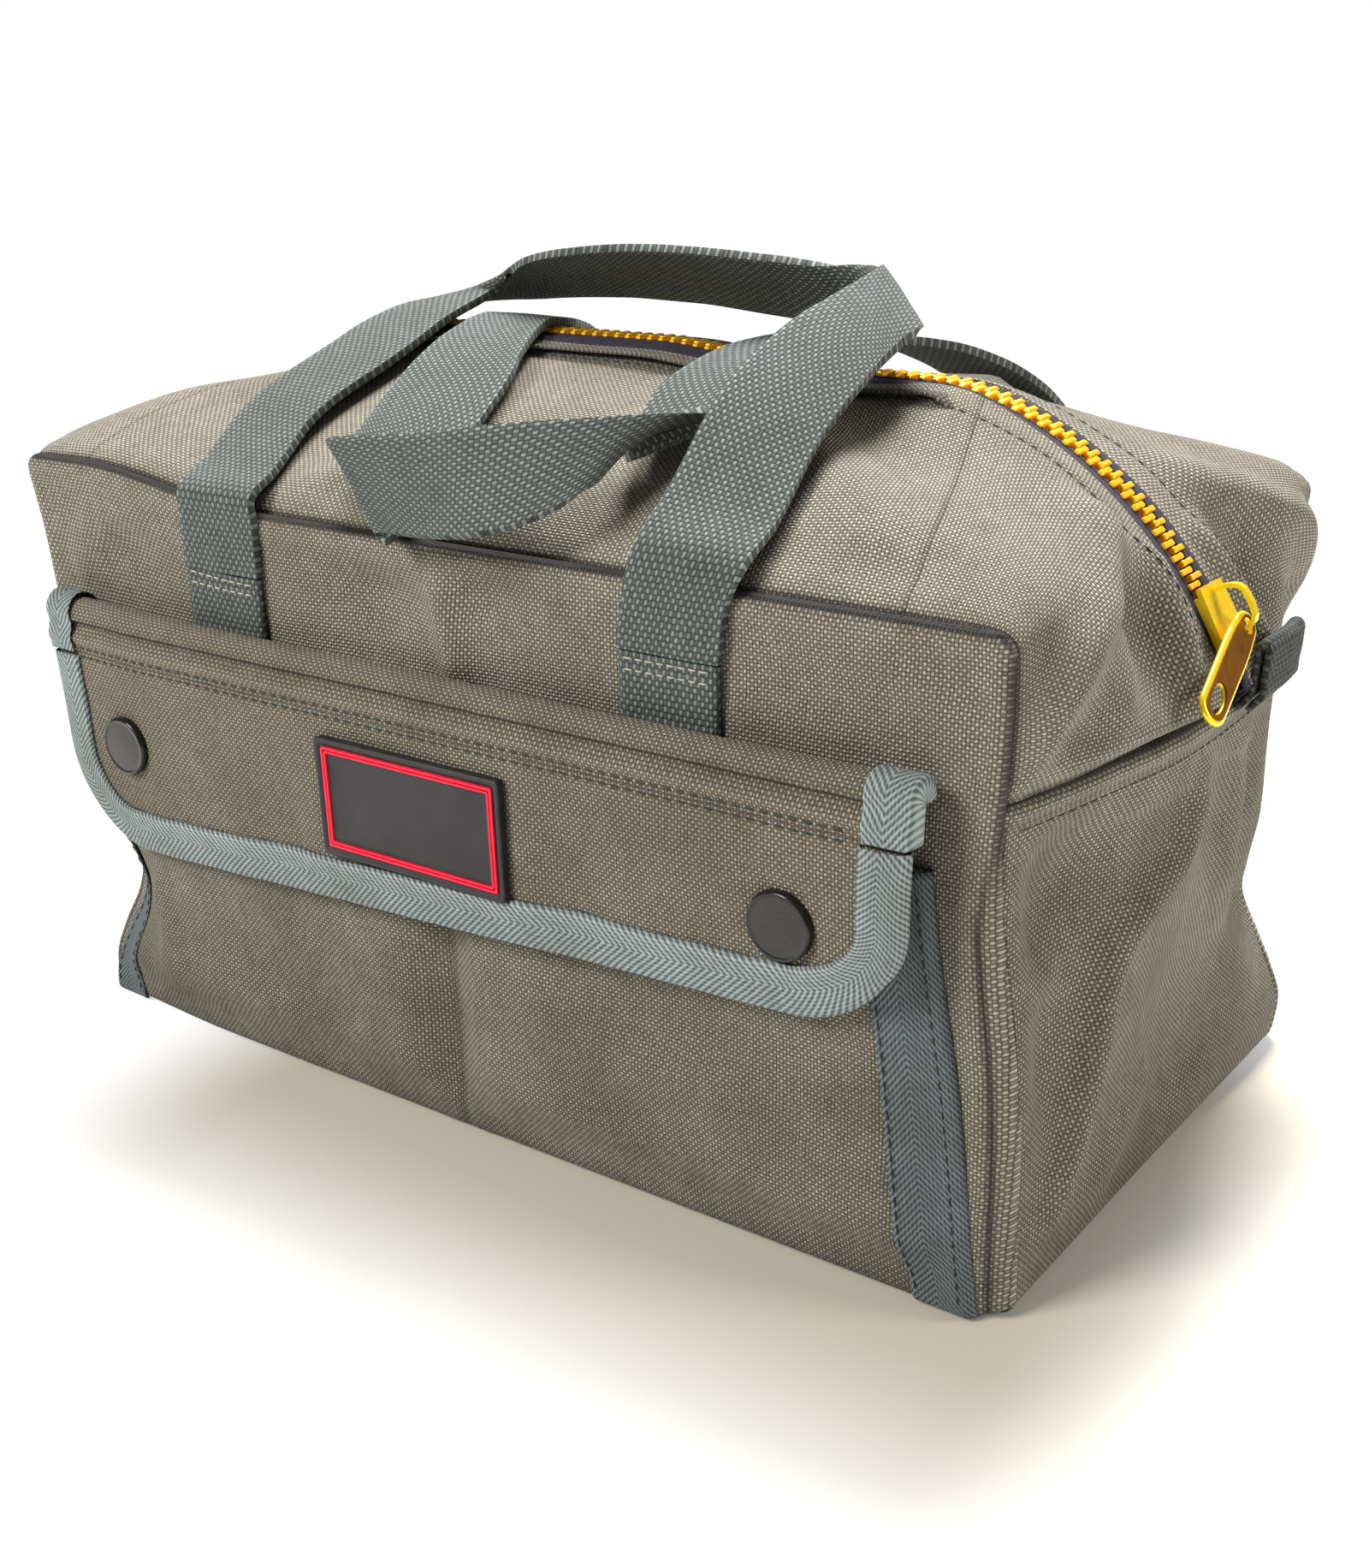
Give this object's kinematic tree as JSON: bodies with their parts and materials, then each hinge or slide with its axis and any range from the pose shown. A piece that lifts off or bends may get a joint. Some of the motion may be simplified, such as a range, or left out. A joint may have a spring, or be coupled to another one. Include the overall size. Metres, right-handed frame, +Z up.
{
  "type": "tool bag",
  "caption": "Boxy canvas tool bag with a zipped gate mouth, crossed webbing carry handles and a snap-down front pocket flap with a blank patch.",
  "frame": {"origin": "on the floor plane, under the middle of the base panel", "axes": "+X along the length to the closed zip slider, +Y from the pocket side to the plain back, +Z up"},
  "size_m": [0.3192, 0.1759, 0.2016],
  "materials": {
    "canvas": "heavy plain-weave cotton canvas, washed warm grey",
    "webbing": "coarse woven cotton webbing, dark slate with pale nubs",
    "twill": "ribbed twill tape, blue grey",
    "zip_tape": "woven zip tape, near black",
    "brass": "bright cast brass",
    "black_metal": "glossy black",
    "steel": "plain nickelled steel",
    "rubber": "moulded matt black",
    "red_rubber": "moulded satin red"
  },
  "bodies": {
    "bag_body": {"bottom_panel": "canvas", "front_panel": "canvas", "back_panel": "canvas", "end_panel_right": "canvas", "end_panel_left": "canvas", "shoulder_front_right": "canvas", "shoulder_front_left": "canvas", "shoulder_back_right": "canvas", "shoulder_back_left": "canvas", "pocket_panel": "canvas", "flap_head": "canvas", "flap_head_binding_right": "twill", "flap_head_binding_left": "twill", "pocket_binding_right": "twill", "pocket_binding_left": "twill", "front_handle_anchor_right": "webbing", "front_handle_anchor_left": "webbing", "back_handle_anchor_right": "webbing", "back_handle_anchor_left": "webbing", "zip_end_tab_right": "webbing", "zip_end_tab_left": "webbing", "zip_tape_front_right": "zip_tape", "zip_tape_front_left": "zip_tape", "zip_tape_back_right": "zip_tape", "zip_tape_back_left": "zip_tape", "zip_teeth_front_right": "brass", "zip_teeth_front_left": "brass", "zip_teeth_back_right": "brass", "zip_teeth_back_left": "brass", "zip_top_stop_front": "brass", "zip_top_stop_back": "brass", "zip_bottom_stop": "brass", "snap_stud_right": "steel", "snap_stud_left": "steel"},
    "mouth_front": {"top_front_half": "canvas", "zip_tape_front": "zip_tape", "zip_teeth_front": "brass"},
    "mouth_back": {"top_back_half": "canvas", "zip_tape_back": "zip_tape", "zip_teeth_back": "brass"},
    "zip_slider": {"zip_slider": "brass"},
    "zip_pull": {"zip_pull": "brass"},
    "pocket_flap": {"pocket_flap": "canvas", "flap_binding": "twill", "patch": "rubber", "patch_border": "red_rubber", "snap_cap_right": "black_metal", "snap_cap_left": "black_metal", "snap_socket_right": "steel", "snap_socket_left": "steel"},
    "front_handle": {"front_handle": "webbing"},
    "back_handle": {"back_handle": "webbing"}
  },
  "joints": [
    {"name": "mouth_front_hinge", "type": "hinge", "parent": "bag_body", "child": "mouth_front", "pos_m": [0, -0.0763, 0.1447], "axis": [-1, 0, 0], "range_deg": [0, 108]},
    {"name": "mouth_back_hinge", "type": "hinge", "parent": "bag_body", "child": "mouth_back", "pos_m": [0, 0.0763, 0.1447], "axis": [1, 0, 0], "range_deg": [0, 108]},
    {"name": "zip_slider_travel", "type": "hinge", "parent": "bag_body", "child": "zip_slider", "pos_m": [0.064, 0, 0.0825], "axis": [0, -1, 0], "range_deg": [0, 36], "deforming": ["zip_teeth_front_right", "zip_teeth_back_right"]},
    {"name": "zip_pull_swing", "type": "hinge", "parent": "zip_slider", "child": "zip_pull", "pos_m": [0.15336, 0, 0.13007], "axis": [-0.4462, -0.4229, 0.7887], "range_deg": [0, 40]},
    {"name": "pocket_flap_hinge", "type": "hinge", "parent": "bag_body", "child": "pocket_flap", "pos_m": [0, -0.09191, 0.105], "axis": [-1, 0, 0], "range_deg": [0, 100]},
    {"name": "front_handle_hinge", "type": "hinge", "parent": "bag_body", "child": "front_handle", "pos_m": [0, -0.08245, 0.12985], "axis": [1, 0, 0], "range_deg": [0, 140]},
    {"name": "back_handle_hinge", "type": "hinge", "parent": "bag_body", "child": "back_handle", "pos_m": [0, 0.08245, 0.12985], "axis": [-1, 0, 0], "range_deg": [0, 84]}
  ],
  "couplings": [
    {"joint": "back_handle_hinge", "follows": "front_handle_hinge", "ratio": 0.6}
  ]
}
